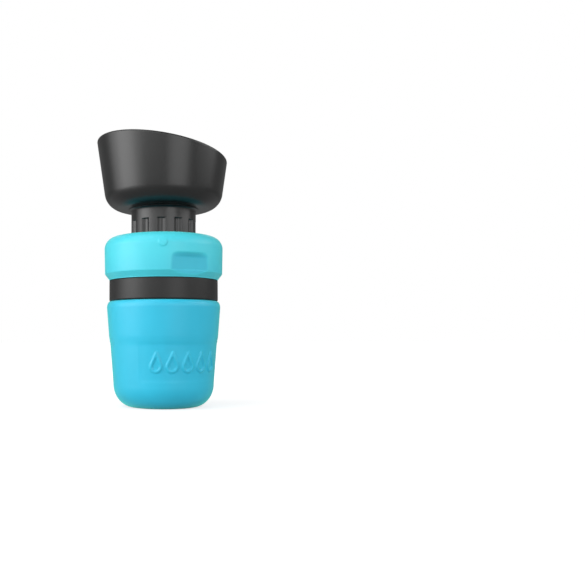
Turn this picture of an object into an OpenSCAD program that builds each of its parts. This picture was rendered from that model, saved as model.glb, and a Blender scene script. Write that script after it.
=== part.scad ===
// Dog travel water bottle: a soft squeeze bottle that carries a drinking bowl on a twist valve.
// Turn the bowl a quarter turn to open the valve, then squeeze: water climbs the dip tube, passes
// the valve and fills the bowl. The threaded collar clamps the lid, valve and bowl on the bottle.
// Millimetres. Z is the bottle's axis and the foot stands on Z = 0. The label panel and the
// thumb pocket face -Y, and the low drinking lip of the bowl is near +X.

/* [Squeeze bottle] */
// Radius of the flat foot
foot_r = 20.9; // [19:0.1:24]
// Height of the rounding above the foot
foot_round_h = 16; // [13:0.5:18]
// Width of the ring that touches the ground
foot_ring_w = 4.5; // [3:0.5:7]
// Depth of the hollow under the floor
foot_hollow = 1.2; // [0.6:0.2:1.8]
// Radius of the body below its shoulder
body_r = 39.5; // [38.5:0.1:41]
// Draft of the body wall, in degrees
body_draft = 4.5; // [3:0.25:5.5]
// Height of the shoulder, where the hard ring sits
shoulder_z = 72.6; // [64:1:88]
// Height of the shoulder rounding
shoulder_round_h = 4.4; // [3:0.2:5]
// Inward reach of the shoulder rounding
shoulder_round_w = 2.4; // [1.6:0.2:3]
// Wall of the soft body
soft_wall = 2.4; // [1.8:0.1:2.8]
// Thickness of the floor
floor_t = 3.4; // [2.6:0.2:5]
// Height of the step above the grip zone
grip_z = 45.4; // [40:0.2:52]
// Depth of the grip zone
grip_depth = 0.9; // [0.4:0.1:1.2]
// Lower edge of the label panel
panel_z = 18.8; // [18:0.4:26]
// Angle that the label panel covers
panel_angle = 104; // [60:4:140]
// Depth of the label panel
panel_depth = 0.4; // [0.2:0.1:0.6]

/* [Mouth ring] */
// Outer radius of the hard ring
ring_r = 37.9; // [37.2:0.1:39]
// Visible height of the hard ring
ring_h = 14.3; // [13.4:0.1:17]
// Wall of the ring behind the soft bead
ring_wall = 1.8; // [1.4:0.1:2.2]
// Height of the threaded spigot above the ring
spigot_h = 11; // [9.4:0.2:13]
// Wall of the threaded spigot
spigot_wall = 1.9; // [1.5:0.1:2.2]
// Reach of the soft bead beyond the soft neck
bead_w = 1.2; // [0.8:0.1:1.5]
// Height of the soft bead
bead_h = 3.2; // [2.4:0.2:4]
// Height of the soft neck above the shoulder
soft_neck_h = 11.4; // [10:0.2:12]
// Wall of the inner clamp sleeve
sleeve_wall = 1.8; // [1.2:0.1:2.4]
// Thickness of the flange on the clamp sleeve
sleeve_flange_t = 1.8; // [1.2:0.1:2.4]

/* [Collar] */
// Height of the collar
collar_h = 30.7; // [29:0.1:34]
// Bulge of the collar beyond the hard ring
collar_bulge = 3.5; // [3.4:0.1:5]
// Draft of the collar wall, on its radius
collar_draft = 0.4; // [0:0.1:0.8]
// Radius of the collar's top rounding
collar_round = 8.4; // [6.5:0.1:9]
// Rise of the crown from the rounding to the neck
crown_rise = 0.6; // [0.2:0.1:1.2]
// Height of the chamfer's top above the collar's lower edge
lip_h = 4.2; // [3.4:0.1:6]
// Wall of the soft-touch shell
shell_wall = 2.2; // [1.8:0.1:2.5]
// Wall of the threaded nut
nut_wall = 2; // [1.6:0.1:2.2]
// Width of each finger pocket
pocket_w = 26; // [18:0.5:30]
// Height of the pocket's top above the collar's lower edge
pocket_top = 16.8; // [14:0.2:17]
// Height of the pocket's foot above the collar's lower edge
pocket_foot = 1.1; // [0.8:0.1:3]
// Depth of each finger pocket at its top
pocket_depth = 2.7; // [2:0.1:3]
// Radius of the pocket's corners
pocket_corner = 4; // [2:0.25:6]
// Number of finger pockets
pocket_count = 2; // [2:1:4]
// Width of the half-round index mark
index_w = 6; // [4:0.5:8]
// Height of the index mark's centre above the collar's lower edge
index_z = 22.6; // [20:0.2:24]
// Direction of the index mark, in degrees from +X
index_angle = -117; // [-150:1:-30]

/* [Lid] */
// Thickness of the lid floor
lid_t = 2.5; // [2:0.1:3.2]
// Thickness of the lid gasket
gasket_t = 1; // [0.6:0.1:1.6]
// Depth of the plug that enters the mouth
plug_h = 7; // [5:0.5:8]
// Wall of the plug
plug_wall = 1.8; // [1.4:0.1:2.4]
// Wall of the valve post
post_wall = 3.2; // [3:0.1:3.6]
// Thickness of the slip washer
washer_t = 0.8; // [0.5:0.1:1.2]
// Number of stiffening ribs under the lid
lid_ribs = 6; // [4:1:10]

/* [Valve] */
// Distance of the port from the axis
port_offset = 5.2; // [5:0.1:5.4]
// Radius of the port
port_r = 2.6; // [2:0.1:2.6]
// Direction of the lid's port, in degrees from +X
port_angle = 90; // [60:15:120]
// Turn of the bowl from locked to open
open_turn = 90; // [75:5:105]
// Thickness of the port plate
plate_t = 3; // [2.4:0.1:4]
// Thickness of the rubber seat
seat_t = 1.4; // [1:0.1:2]
// Rise of the sealing lip on the seat
seat_lip = 0.3; // [0.2:0.1:0.5]
// Thickness of the rotor disc
rotor_t = 5.5; // [5:0.25:7]
// Bore of the water passage, as a radius
passage_r = 8; // [8:0.1:8.6]
// Wall of the rotor stem
stem_wall = 2; // [1.4:0.1:2.4]
// Section radius of the rotor's seal ring
seal_r = 0.85; // [0.7:0.05:1]
// Outer radius of the dip tube
tube_r = 4.4; // [4.2:0.1:4.6]
// Wall of the dip tube
tube_wall = 1; // [0.8:0.1:1.1]
// Gap between the dip tube and the bottle floor
tube_gap = 2.6; // [1.6:0.2:6]
// Radius of each plate screw
screw_r = 1.1; // [0.9:0.1:1.2]
// Number of plate screws
screw_count = 3; // [3:1:6]

/* [Neck] */
// Outer radius of the fluted neck
neck_r = 22.7; // [22:0.1:24]
// Wall of the neck sleeve
neck_wall = 2.9; // [2.7:0.1:3.2]
// Visible height of the neck above the collar
neck_h = 19.2; // [17:0.2:26]
// Height of the flutes above the collar
flute_h = 10.8; // [7:0.2:12]
// Number of flutes
flute_count = 12; // [8:1:16]
// Radius of each flute's hollow
flute_r = 3.4; // [3.2:0.1:4.6]
// Depth of each flute
flute_depth = 1.8; // [1.2:0.1:1.9]
// Thickness of the neck's top deck
deck_t = 7.3; // [6.6:0.1:9]
// Reach of the flare under the bowl
flare_w = 2; // [1:0.25:3]
// Height of the flare under the bowl
flare_h = 1.6; // [1:0.2:2.4]
// Radius of the outlet that passes the bowl floor
outlet_r = 12.6; // [12.2:0.1:13.4]

/* [Bowl] */
// Radius of the flat underside
bowl_flat_r = 29.3; // [27:0.1:33]
// Radius of the rounding below the wall
bowl_round = 12.3; // [10:0.1:14]
// Draft of the bowl wall, in degrees
bowl_draft = 8.4; // [5:0.4:10]
// Height of the rim on the axis, above the underside
rim_h = 40.9; // [34:0.1:46]
// Tilt of the rim, in degrees
rim_tilt = 9.6; // [5:0.2:11]
// Direction of the rim's low side at rest, in degrees from +X
rim_angle = -6; // [-45:1:45]
// Wall of the bowl
bowl_wall = 2.4; // [1.8:0.1:3]
// Thickness of the bowl floor
bowl_floor_t = 2.6; // [2:0.1:3.4]
// Radius of the nut in the bowl
bowl_nut_r = 19.5; // [19:0.25:22]
// Height of the nut in the bowl
bowl_nut_h = 5.6; // [5:0.2:7]
// Number of finger notches on the nut
notch_count = 8; // [6:1:12]
// Thickness of the strainer
strainer_t = 1.4; // [1:0.1:1.8]
// Rise of the strainer's dome
strainer_rise = 2.6; // [1.6:0.2:3.4]
// Radius of each strainer hole
strainer_hole_r = 1.1; // [0.8:0.1:1.2]

/* [Clearances] */
// Gap between faces that are pressed together
seat_gap = 0.1; // [0.05:0.01:0.15]
// Gap between hard pieces that slide or screw together
slide_gap = 0.3; // [0.2:0.05:0.4]
// Gap beside soft pieces
soft_gap = 0.3; // [0.2:0.05:0.4]
// Running gap of the neck on its post
running_gap = 0.06; // [0.02:0.01:0.1]
// Gap below and above the collar
collar_gap = 0.3; // [0.3:0.1:0.8]

/* [Hidden] */
$fn = 96;

blue = "#45bfe0";
dark = "#444446";
rubber = "#2b2b2d";
clear = "#d9e4e8";
steel = "#b8bcc0";
arc_steps = 12;
far = 200;

// Heights of the stack, from the foot up
ring_z = shoulder_z + seat_gap;
ring_top = shoulder_z + ring_h + seat_gap;
spigot_top = ring_top + spigot_h;
soft_neck_top = shoulder_z + soft_neck_h;
lid_z = spigot_top + soft_gap + gasket_t;
lid_top = lid_z + lid_t;
washer_z = lid_top + seat_gap;
nut_press_z = washer_z + washer_t;
collar_z = ring_top + collar_gap;
collar_top = collar_z + collar_h;
bowl_z = collar_top + neck_h;
bowl_floor_z = bowl_z + bowl_floor_t;
bowl_gasket_t = 1.2;
bowl_nut_z = bowl_floor_z + bowl_gasket_t;
deck_z = bowl_z - deck_t;

// Radii of the mouth, from the hard ring inwards
groove_r = ring_r - ring_wall;
bead_r = groove_r - soft_gap;
soft_neck_r = bead_r - bead_w;
ring_bore_r = soft_neck_r + soft_gap;
soft_bore_r = soft_neck_r - soft_wall;
sleeve_r = soft_bore_r - 2 * seat_gap;
clamp_lip = 0.6;
mouth_r = soft_bore_r + clamp_lip;
spigot_r = mouth_r + spigot_wall;

// Radii of the collar, from the spigot outwards
nut_bore_r = spigot_r + slide_gap;
nut_r = nut_bore_r + nut_wall;
pan_r = nut_r + 2 * seat_gap;
collar_r = ring_r + collar_bulge;
lip_r = ring_r + seat_gap;
shell_in_r = collar_r - shell_wall;
collar_hole_r = neck_r + 0.4;
round_z = collar_top - crown_rise - collar_round;
pan_wall = 1.4;
lip_edge = 0.4;
pocket_foot_depth = 1.3;
nut_rim_z = collar_z + pocket_top + pan_wall + 2 * seat_gap;
press_t = 2.3;
press_w = 4;

// Radii of the valve post
neck_bore_r = neck_r - neck_wall;
post_r = neck_bore_r - running_gap;
post_bore_r = post_r - post_wall;
post_mid_r = post_r - post_wall / 2;
post_top = deck_z - 2 * slide_gap;
snap_z = lid_top + 6.2;
snap_t = 1.2;
snap_depth = 1.3;

// Valve stack
seat_r = post_bore_r - 2 * seat_gap;
seat_top = lid_z + seat_t + seat_lip;
rotor_z = seat_top + soft_gap;
rotor_r = post_bore_r - slide_gap;
rotor_floor_t = rotor_t / 2;
seal_z = rotor_z + rotor_t / 2;
seal_mid_r = rotor_r - seal_r;
stem_r = passage_r + stem_wall;
stem_top = deck_z + 3.8;
stem_key_w = 4;
stem_key_r = stem_r + 2;
tube_bore_r = tube_r - tube_wall;
plate_r = post_r + 1.5;
plate_z = lid_z - plate_t;
tube_z = floor_t + tube_gap;
tube_top = plate_z - 2 * seat_gap;
hose_barb_h = 8;
screw_head_t = 1.5;
screw_grip = 6;

// Travel stops of the valve
stop_half = 6;
stop_margin = 1;
stop_h = 5.5;
stop_angle = 180;

// Bowl
bowl_taper = tan(bowl_draft);
bowl_round_z = bowl_z + bowl_round;
outlet_top = bowl_nut_z + 2.9;
cup_r = outlet_r + 2.6;

// Points along an elliptical arc
function arc(c, rx, rz, a0, a1, n = arc_steps) =
    [for (i = [0 : n]) let (a = a0 + (a1 - a0) * i / n) [c[0] + rx * cos(a), c[1] + rz * sin(a)]];

// Radius of the body at a height, above and below the grip step
function body_line(z) = body_r - (shoulder_z - shoulder_round_h - z) * tan(body_draft);
function grip_line(z) = body_line(z) - grip_depth;

// A ring with a square section
module ring(r_out, r_in, h) {
    difference() {
        cylinder(r = r_out, h = h);
        translate([0, 0, -1])
            cylinder(r = r_in, h = h + 2);
    }
}

// Copies turned evenly round the axis
module around(count, start = 0) {
    for (i = [0 : count - 1])
        rotate([0, 0, start + 360 * i / count])
            children();
}

// A wedge round the axis between two angles
module wedge(a0, a1, r_out, r_in, z, h) {
    translate([0, 0, z])
        rotate([0, 0, a0])
            rotate_extrude(angle = a1 - a0)
                translate([r_in, 0])
                    square([r_out - r_in, h]);
}

// Soft squeeze bottle with its bead, label panel and hollow foot
module squeeze_bottle() {
    low_r = grip_line(foot_round_h);
    edge_z = shoulder_z - shoulder_round_h;
    step_h = 1.3;
    inner_edge_z = edge_z - soft_wall;
    outside = concat(
        arc([foot_r, foot_round_h], low_r - foot_r, foot_round_h, -90, 0),
        [[grip_line(grip_z - step_h), grip_z - step_h], [body_line(grip_z + step_h), grip_z + step_h]],
        arc([body_r - shoulder_round_w, edge_z], shoulder_round_w, shoulder_round_h, 0, 90),
        [[soft_neck_r, shoulder_z], [soft_neck_r, soft_neck_top - bead_h],
         [bead_r, soft_neck_top - bead_h], [bead_r, soft_neck_top]]);
    inside = concat(
        [[soft_bore_r, soft_neck_top], [soft_bore_r, shoulder_z - 1],
         [body_line(inner_edge_z) - soft_wall, inner_edge_z - 2],
         [body_line(grip_z + step_h) - soft_wall, grip_z + step_h],
         [grip_line(grip_z - step_h) - soft_wall, grip_z - step_h]],
        arc([foot_r, foot_round_h], low_r - foot_r - soft_wall, foot_round_h - floor_t, 0, -90),
        [[0, floor_t], [0, foot_hollow], [foot_r - foot_ring_w - foot_hollow, foot_hollow],
         [foot_r - foot_ring_w, 0]]);
    color(blue)
        difference() {
            rotate_extrude()
                polygon(concat(outside, inside));
            rotate([0, 0, -90 - panel_angle / 2])
                rotate_extrude(angle = panel_angle)
                    polygon([[grip_line(panel_z) - panel_depth, panel_z],
                             [body_r + 5, panel_z],
                             [body_r + 5, grip_z - step_h],
                             [grip_line(grip_z - step_h) - panel_depth, grip_z - step_h]]);
        }
}

// Hard ring that holds the soft bead and carries the collar's thread
module mouth_ring() {
    edge = 1;
    groove_z = soft_neck_top - bead_h - soft_gap;
    groove_top = soft_neck_top + soft_gap;
    color(dark)
        rotate_extrude()
            polygon(concat(
                [[ring_bore_r, ring_z]],
                arc([ring_r - edge, ring_z + edge], edge, edge, -90, 0, 4),
                arc([ring_r - edge, ring_top - edge], edge, edge, 0, 90, 4),
                [[spigot_r, ring_top], [spigot_r, spigot_top], [mouth_r, spigot_top],
                 [mouth_r, groove_top], [groove_r, groove_top], [groove_r, groove_z],
                 [ring_bore_r, groove_z]]));
}

// Sleeve inside the mouth that presses the soft bead into the ring's groove
module clamp_sleeve() {
    flange_z = soft_neck_top + seat_gap;
    color(dark)
        rotate_extrude()
            polygon([[sleeve_r - sleeve_wall, shoulder_z - 2], [sleeve_r, shoulder_z - 2],
                     [sleeve_r, flange_z], [mouth_r - seat_gap, flange_z],
                     [mouth_r - seat_gap, flange_z + sleeve_flange_t],
                     [sleeve_r - sleeve_wall, flange_z + sleeve_flange_t]]);
}

// Lid with the plug, the valve post, the stop window and the snap groove
module inner_lid() {
    plug_r = mouth_r - slide_gap;
    rib_h = plug_h / 2;
    rib_r = plate_r + slide_gap;
    groove_in_r = post_r - snap_depth - seat_gap;
    groove_half = snap_t / 2 + seat_gap / 2;
    color(dark) {
        difference() {
            rotate_extrude()
                polygon([[post_bore_r, lid_z], [plug_r - plug_wall, lid_z],
                         [plug_r - plug_wall, lid_z - plug_h], [plug_r, lid_z - plug_h],
                         [plug_r, lid_z], [spigot_r, lid_z], [spigot_r, lid_top],
                         [post_r, lid_top], [post_r, snap_z - groove_half],
                         [groove_in_r, snap_z - groove_half], [groove_in_r, snap_z + groove_half],
                         [post_r, snap_z + groove_half], [post_r, post_top],
                         [post_bore_r, post_top]]);
            wedge(stop_angle - stop_half - stop_margin,
                  stop_angle + open_turn + stop_half + stop_margin,
                  post_r + 1, post_bore_r - 1, post_top - stop_h - slide_gap, stop_h + 5);
            around(screw_count, port_angle + 60)
                translate([post_mid_r, 0, lid_z - 1])
                    cylinder(r = screw_r, h = screw_grip + 1.5);
        }
        around(lid_ribs)
            translate([rib_r, -0.8, lid_z - rib_h])
                cube([plug_r - plug_wall - rib_r + 0.2, 1.6, rib_h + 0.2]);
    }
}

// Flat gasket under the lid's flange
module lid_gasket() {
    color(rubber)
        translate([0, 0, lid_z - gasket_t])
            ring(spigot_r - seat_gap, mouth_r - seat_gap, gasket_t);
}

// Plate that closes the post and carries the dip tube
module port_plate() {
    color(dark)
        difference() {
            union() {
                translate([0, 0, plate_z])
                    cylinder(r = plate_r, h = plate_t);
                at_port(port_angle, tube_top - hose_barb_h)
                    cylinder(r = tube_bore_r - seat_gap / 2, h = hose_barb_h + plate_t);
            }
            at_port(port_angle, tube_top - hose_barb_h - 1)
                cylinder(r = port_r, h = far);
            around(screw_count, port_angle + 60)
                translate([post_mid_r, 0, plate_z - 1])
                    cylinder(r = screw_r + seat_gap, h = plate_t + 2);
        }
}

// Rubber seat with a sealing lip round the port
module valve_seat() {
    lip_w = 1.3;
    color(rubber)
        difference() {
            union() {
                translate([0, 0, lid_z])
                    cylinder(r = seat_r, h = seat_t);
                at_port(port_angle, lid_z)
                    cylinder(r = port_r + lip_w, h = seat_t + seat_lip);
            }
            at_port(port_angle, lid_z - 1)
                cylinder(r = port_r, h = seat_t + seat_lip + 2);
        }
}

// Screws that hold the port plate against the post
module plate_screws() {
    color(steel)
        around(screw_count, port_angle + 60)
            translate([post_mid_r, 0, plate_z - screw_head_t])
                difference() {
                    union() {
                        cylinder(r = 1.8 * screw_r, h = screw_head_t);
                        cylinder(r = screw_r, h = screw_head_t + plate_t + screw_grip);
                    }
                    translate([0, 0, -1])
                        cylinder(r = 0.6 * screw_r, h = 1.8, $fn = 6);
                }
}

// Tube that draws from the bottom of the bottle, notched at its foot
module dip_tube() {
    notch_r = 2;
    color(clear)
        difference() {
            at_port(port_angle, tube_z)
                ring(tube_r, tube_bore_r, tube_top - tube_z);
            at_port(port_angle, tube_z)
                rotate([90, 0, port_angle])
                    cylinder(r = notch_r, h = far, center = true);
        }
}

// Place of an eccentric port at a given direction
module at_port(angle, z) {
    rotate([0, 0, angle])
        translate([port_offset, 0, z])
            children();
}

// Split ring that keeps the neck on its post
module snap_ring() {
    split = 30;
    color(steel)
        wedge(split / 2, 360 - split / 2, post_r + snap_depth - seat_gap, post_r - snap_depth,
              snap_z - snap_t / 2, snap_t);
}

// Rounded upright plate in front of the axis, for a finger pocket
module pocket_plate(grow) {
    w = pocket_w + 2 * grow;
    h = pocket_top - pocket_foot + 2 * grow;
    c = pocket_corner + grow;
    translate([0, 0, collar_z + pocket_foot - grow])
        rotate([90, 0, 0])
            linear_extrude(far) {
                translate([c - w / 2, 0])
                    square([w - 2 * c, h]);
                translate([-w / 2, c])
                    square([w, h - 2 * c]);
                for (x = [c - w / 2, w / 2 - c], y = [c, h - c])
                    translate([x, y])
                        circle(c);
            }
}

// Cut of a finger pocket, whose flat floor leans inwards towards its top
module pocket_cut() {
    low_z = collar_z + pocket_foot - 1;
    high_z = collar_z + pocket_top + 1;
    intersection() {
        pocket_plate(0);
        rotate([90, 0, 90])
            linear_extrude(pocket_w + 2, center = true)
                polygon([[-far, low_z], [collar_draft + pocket_foot_depth - collar_r, low_z],
                         [pocket_depth - collar_r, high_z], [-far, high_z]]);
    }
}

// Soft-touch shell of the collar with its finger pockets and index mark
module collar_shell() {
    foot_z = collar_z + lip_h;
    draft_r = collar_r - collar_draft;
    inner_round = collar_round - shell_wall;
    round_c = [collar_r - collar_round, round_z];
    outside = concat(
        [[lip_r, collar_z], [lip_r, collar_z + lip_edge], [draft_r, foot_z]],
        arc(round_c, collar_round, collar_round, 0, 90),
        [[collar_hole_r, collar_top]]);
    inside = concat(
        [[collar_hole_r, collar_top - shell_wall]],
        arc(round_c, inner_round, inner_round, 90, 0),
        [[shell_in_r - collar_draft, foot_z], [pan_r, collar_z + lip_h / 2], [pan_r, collar_z]]);
    color(blue)
        difference() {
            union() {
                rotate_extrude()
                    polygon(concat(outside, inside));
                around(pocket_count)
                    intersection() {
                        pocket_plate(pan_wall);
                        translate([0, 0, collar_z + lip_h / 2])
                            ring(shell_in_r + 0.6, pan_r, nut_rim_z - collar_z - lip_h / 2 - 2 * seat_gap);
                    }
                index_mark(round_c);
            }
            around(pocket_count)
                pocket_cut();
        }
}

// Low half-round mark that follows the collar's rounding
module index_mark(round_c) {
    relief = 0.5;
    z = collar_z + index_z;
    intersection() {
        rotate([0, 0, index_angle])
            translate([0, 0, z])
                rotate([0, 90, 0])
                    cylinder(r = index_w / 2, h = far);
        rotate_extrude()
            polygon(concat(
                [[shell_in_r + 0.6, z - index_w], [collar_r + relief, z - index_w]],
                [[collar_r + relief, round_z]],
                arc(round_c, collar_round + relief, collar_round + relief, 0, 40, 6),
                [[shell_in_r - 0.6, round_z + 5]]));
    }
}

// Threaded nut that carries the shell and presses on the slip washer
module collar_nut() {
    skin = 1.8;
    carrier_round = collar_round - shell_wall - seat_gap;
    carrier_r = shell_in_r - seat_gap;
    round_c = [collar_r - collar_round, round_z];
    hole_r = collar_hole_r + 0.9;
    crown_z = collar_top - shell_wall - seat_gap;
    rib_z = collar_z + lip_h;
    pocket_half = asin((pocket_w / 2 + pan_wall) / pan_r) + 3;
    press_top = nut_press_z + press_t;
    color(dark) {
        rotate_extrude()
            polygon(concat(
                [[nut_bore_r, collar_z + 0.5], [nut_r, collar_z + 0.5], [nut_r, nut_rim_z],
                 [carrier_r - collar_draft, nut_rim_z]],
                arc(round_c, carrier_round, carrier_round, 0, 90, 8),
                [[hole_r, crown_z], [hole_r, crown_z - skin]],
                arc(round_c, carrier_round - skin, carrier_round - skin, 90, 0, 8),
                [[nut_bore_r + 0.4, press_top], [nut_bore_r - press_w, press_top],
                 [nut_bore_r - press_w, nut_press_z], [nut_bore_r, nut_press_z]]));
        for (a = [15 : 30 : 345])
            if (min([for (i = [0 : pocket_count - 1]) turn_gap(a, -90 + 360 * i / pocket_count)])
                > pocket_half)
                rotate([0, 0, a])
                    translate([nut_r - 0.4, -0.8, rib_z])
                        cube([carrier_r - collar_draft - nut_r + 0.4, 1.6, nut_rim_z - rib_z + 0.2]);
    }
}

// Smallest angle between two directions
function turn_gap(a, b) = let (d = abs(a - b) % 360) min(d, 360 - d);

// Washer that lets the collar turn on the lid
module slip_washer() {
    color(clear)
        translate([0, 0, washer_z])
            ring(nut_bore_r - slide_gap, nut_bore_r - press_w, washer_t);
}

// Fluted neck that carries the bowl, with the stop lug and the outlet
module neck_cap() {
    neck_z = lid_top + 0.5;
    flare_top = bowl_z - seat_gap - 0.3;
    snap_half = snap_t / 2 + slide_gap;
    snap_r = post_r + snap_depth + slide_gap;
    flute_mid = neck_r - flute_depth + flute_r;
    color(dark)
        difference() {
            union() {
                rotate_extrude()
                    polygon(concat(
                        [[neck_bore_r, neck_z], [neck_r, neck_z]],
                        arc([neck_r + flare_w, flare_top - flare_h], flare_w, flare_h, 180, 90, 6),
                        [[neck_r + flare_w, bowl_z - seat_gap],
                         [outlet_r, bowl_z - seat_gap], [outlet_r, outlet_top],
                         [passage_r, outlet_top], [passage_r, deck_z],
                         [neck_bore_r, deck_z], [neck_bore_r, snap_z + snap_half],
                         [snap_r, snap_z + snap_half], [snap_r, snap_z - snap_half],
                         [neck_bore_r, snap_z - snap_half]]));
                wedge(stop_angle - stop_half, stop_angle + stop_half, neck_bore_r + 0.5,
                      post_bore_r + slide_gap, deck_z - stop_h, stop_h + 0.5);
            }
            around(flute_count)
                translate([flute_mid, 0, collar_top - 4])
                    cylinder(r = flute_r, h = flute_h + 4);
            translate([0, 0, deck_z - 1])
                cylinder(r = stem_r + seat_gap, h = stem_top - deck_z + 1 + seat_gap);
            stem_keys(seat_gap);
        }
}

// Two keys that turn the rotor with the neck
module stem_keys(gap) {
    for (a = [0, 180])
        rotate([0, 0, a])
            translate([passage_r + stem_wall / 2, -stem_key_w / 2 - gap, deck_z - 1 + seat_gap - gap])
                cube([stem_key_r - passage_r - stem_wall / 2 + gap, stem_key_w + 2 * gap,
                      stem_top - deck_z + 1 - seat_gap + 2 * gap]);
}

// Rotor whose port meets the lid's port when the bowl is turned open
module valve_rotor() {
    groove_half = seal_r + 0.15;
    groove_in_r = rotor_r - 2 * seal_r - seat_gap;
    color(clear)
        difference() {
            union() {
                rotate_extrude()
                    polygon([[0, rotor_z], [rotor_r, rotor_z], [rotor_r, seal_z - groove_half],
                             [groove_in_r, seal_z - groove_half],
                             [groove_in_r, seal_z + groove_half], [rotor_r, seal_z + groove_half],
                             [rotor_r, rotor_z + rotor_t], [stem_r, rotor_z + rotor_t],
                             [stem_r, stem_top], [passage_r, stem_top],
                             [passage_r, rotor_z + rotor_floor_t], [0, rotor_z + rotor_floor_t]]);
                stem_keys(0);
            }
            at_port(port_angle - open_turn, rotor_z - 1)
                cylinder(r = port_r, h = rotor_floor_t + 2);
        }
}

// Seal ring round the rotor
module rotor_seal() {
    color(rubber)
        translate([0, 0, seal_z])
            rotate_extrude()
                translate([seal_mid_r, 0])
                    circle(seal_r);
}

// Bowl with a tilted rim, low on its drinking side
module bowl() {
    wall_lean = [cos(bowl_draft), -sin(bowl_draft)];
    base_r = bowl_flat_r + bowl_round * wall_lean[0];
    base_z = bowl_round_z + bowl_round * wall_lean[1];
    inner_round = bowl_round - bowl_wall;
    top_z = bowl_z + rim_h + 20;
    side_wall = bowl_wall / cos(bowl_draft);
    top_r = base_r + (top_z - base_z) * bowl_taper;
    inner_floor_round = bowl_round - bowl_floor_t;
    color(dark)
        difference() {
            rotate_extrude()
                polygon(concat(
                    [[outlet_r + 2 * seat_gap, bowl_z]],
                    arc([bowl_flat_r, bowl_round_z], bowl_round, bowl_round, -90, -bowl_draft),
                    [[top_r, top_z], [top_r - side_wall, top_z]],
                    arc([bowl_flat_r, bowl_round_z], inner_round, inner_floor_round, -bowl_draft, -90),
                    [[outlet_r + 2 * seat_gap, bowl_floor_z]]));
            translate([0, 0, bowl_z + rim_h])
                rotate([0, rim_tilt, rim_angle])
                    translate([-far / 2, -far / 2, 0])
                        cube(far);
        }
}

// Gasket between the bowl floor and its nut
module bowl_gasket() {
    color(rubber)
        translate([0, 0, bowl_floor_z])
            ring(bowl_nut_r - 0.9, outlet_r + 2 * seat_gap, bowl_gasket_t);
}

// Nut that clamps the bowl on the neck and seats the strainer
module bowl_nut() {
    cup_z = outlet_top + 2 * seat_gap;
    notch_r = 3;
    color(dark)
        difference() {
            rotate_extrude()
                polygon([[outlet_r + 2 * seat_gap, bowl_nut_z], [bowl_nut_r, bowl_nut_z],
                         [bowl_nut_r, bowl_nut_z + bowl_nut_h - 1.6],
                         [bowl_nut_r - 1.6, bowl_nut_z + bowl_nut_h],
                         [cup_r, bowl_nut_z + bowl_nut_h], [cup_r, cup_z],
                         [outlet_r + 2 * seat_gap, cup_z]]);
            around(notch_count)
                translate([bowl_nut_r + notch_r - 1.5, 0, bowl_nut_z + 1.2])
                    cylinder(r = notch_r, h = bowl_nut_h);
        }
}

// Domed strainer over the outlet
module strainer() {
    rim_z = outlet_top + 2 * seat_gap;
    rim_r = cup_r - seat_gap;
    dome_r = (rim_r * rim_r + strainer_rise * strainer_rise) / (2 * strainer_rise);
    half = asin(rim_r / dome_r);
    dome_z = rim_z + strainer_t + strainer_rise - dome_r;
    rows = [1, 2, 3];
    row_step = (rim_r - 3.4) / 3;
    color(dark)
        difference() {
            rotate_extrude()
                polygon(concat(
                    arc([0, dome_z], dome_r, dome_r, 90 - half, 90, 8),
                    arc([0, dome_z - strainer_t], dome_r, dome_r, 90, 90 - half + 6, 7),
                    [[rim_r - 2, rim_z], [rim_r, rim_z]]));
            translate([0, 0, rim_z - 1])
                cylinder(r = strainer_hole_r, h = 10);
            for (row = rows)
                around(6 * row)
                    translate([row * row_step, 0, rim_z - 1])
                        cylinder(r = strainer_hole_r, h = 10);
        }
}

squeeze_bottle();
mouth_ring();
clamp_sleeve();
inner_lid();
lid_gasket();
port_plate();
valve_seat();
plate_screws();
dip_tube();
snap_ring();
collar_shell();
collar_nut();
slip_washer();
neck_cap();
valve_rotor();
rotor_seal();
bowl();
bowl_gasket();
bowl_nut();
strainer();
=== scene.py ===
import math

import bmesh
import bpy
from bpy.props import FloatProperty, FloatVectorProperty, IntProperty, PointerProperty
from mathutils import Matrix, Vector


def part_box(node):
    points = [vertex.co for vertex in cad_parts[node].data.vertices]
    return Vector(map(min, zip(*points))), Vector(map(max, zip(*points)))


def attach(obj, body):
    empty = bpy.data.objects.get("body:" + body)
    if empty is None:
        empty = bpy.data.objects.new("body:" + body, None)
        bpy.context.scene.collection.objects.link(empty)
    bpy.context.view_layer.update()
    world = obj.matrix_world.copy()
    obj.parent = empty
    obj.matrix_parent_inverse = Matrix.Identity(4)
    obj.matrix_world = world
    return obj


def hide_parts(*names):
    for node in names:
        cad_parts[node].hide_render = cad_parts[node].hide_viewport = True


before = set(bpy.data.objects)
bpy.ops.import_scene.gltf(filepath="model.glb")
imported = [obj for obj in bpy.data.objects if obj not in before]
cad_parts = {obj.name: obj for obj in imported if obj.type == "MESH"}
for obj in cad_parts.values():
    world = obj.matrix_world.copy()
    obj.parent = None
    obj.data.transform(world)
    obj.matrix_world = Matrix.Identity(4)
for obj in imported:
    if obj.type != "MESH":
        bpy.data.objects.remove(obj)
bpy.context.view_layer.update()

bl_info = {
    "name": "Dog Travel Water Bottle",
    "version": (1, 0, 0),
    "blender": (4, 5, 0),
    "location": "View3D > Sidebar > Travel Bottle",
    "description": "Models and finishes a squeeze bottle with a drinking bowl on a twist valve",
    "category": "Add Mesh",
}

MM = 0.001
PHOTO_W = 585


def linear_colour(hex_rgb):
    """Linear RGBA of an sRGB hex colour."""
    channels = [int(hex_rgb[i:i + 2], 16) / 255 for i in (0, 2, 4)]
    return tuple(c / 12.92 if c <= 0.04045 else ((c + 0.055) / 1.055) ** 2.4 for c in channels) + (1.0,)


def span(node):
    """Lowest height, highest height and outer radius of a round CAD node, in millimetres."""
    low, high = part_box(node)
    return low.z / MM, high.z / MM, (high.y - low.y) / 2 / MM


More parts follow.
